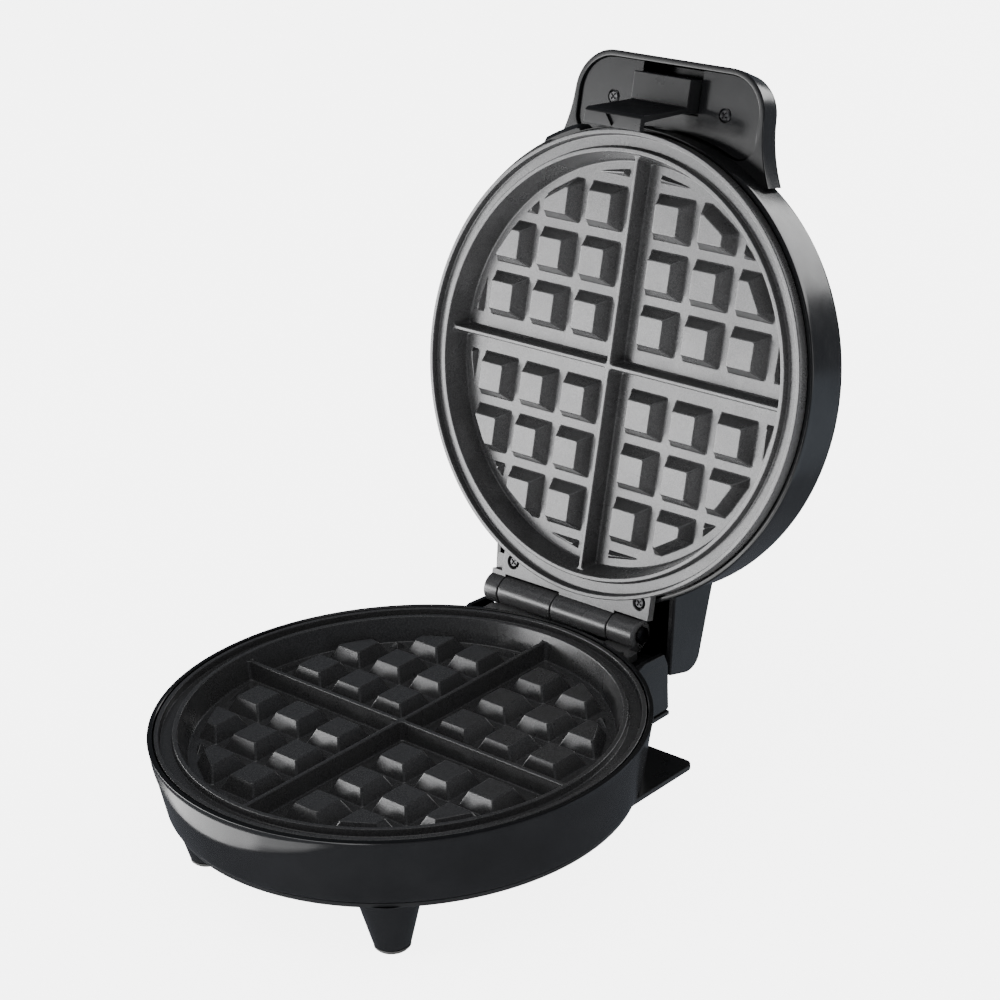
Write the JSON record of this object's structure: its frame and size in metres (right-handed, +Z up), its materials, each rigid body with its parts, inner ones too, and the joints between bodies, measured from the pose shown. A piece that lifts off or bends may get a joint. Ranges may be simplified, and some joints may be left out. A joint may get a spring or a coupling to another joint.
{
  "type": "waffle maker",
  "caption": "Round waffle maker with a hinged lid standing open, gridded cooking plates with cross dividers, a hooded handle with a sprung latch, and tapered legs.",
  "frame": {"origin": "middle of the open appliance's footprint, on the surface it stands on", "axes": "+Z up, -Y towards the user, +X to the user's right, hinge axis along X"},
  "size_m": [0.2042, 0.3011, 0.2865],
  "materials": {
    "black_housing_plastic": "gloss black",
    "cast_plate_coating": "satin grey non-stick coating",
    "foot_rubber": "matt",
    "bright_steel": "bright",
    "heater_sheath": "heat-darkened",
    "reflector_sheet": "plain sheet",
    "ceramic_insulator": "unglazed ceramic",
    "red_lens": "translucent",
    "green_lens": "translucent"
  },
  "bodies": {
    "base": {"base_housing": "black_housing_plastic", "base_cover": "black_housing_plastic", "foot_pad_front_left": "foot_rubber", "foot_pad_front_right": "foot_rubber", "foot_pad_rear_left": "foot_rubber", "foot_pad_rear_right": "foot_rubber", "lower_plate": "cast_plate_coating", "lower_element": "heater_sheath", "lower_reflector": "reflector_sheet", "thermostat": "reflector_sheet", "thermal_fuse": "ceramic_insulator", "terminal_block": "ceramic_insulator", "cord_gland": "foot_rubber", "hinge_pin": "bright_steel", "lower_plate_screw_left": "bright_steel", "lower_plate_screw_right": "bright_steel", "cover_screw_1": "bright_steel", "cover_screw_2": "bright_steel", "cover_screw_3": "bright_steel"},
    "lid": {"lid_housing": "black_housing_plastic", "upper_plate": "cast_plate_coating", "upper_element": "heater_sheath", "upper_reflector": "reflector_sheet", "upper_plate_screw_left": "bright_steel", "upper_plate_screw_right": "bright_steel", "handle_cover": "black_housing_plastic", "handle_screw_left": "bright_steel", "handle_screw_right": "bright_steel", "latch_pin": "bright_steel", "latch_spring": "bright_steel", "power_light": "red_lens", "ready_light": "green_lens"},
    "latch": {"latch": "black_housing_plastic"}
  },
  "joints": [
    {"name": "lid_hinge", "type": "hinge", "parent": "base", "child": "lid", "pos_m": [0, 0.0609, 0.06], "axis": [1, 0, 0], "range_deg": [0, 104.6]},
    {"name": "latch_hinge", "type": "hinge", "parent": "lid", "child": "latch", "pos_m": [0, 0.13898, 0.27137], "axis": [-1, 0, 0], "range_deg": [0, 12], "stiffness_Nm_per_rad": 0.03, "springref_deg": -14.32}
  ]
}
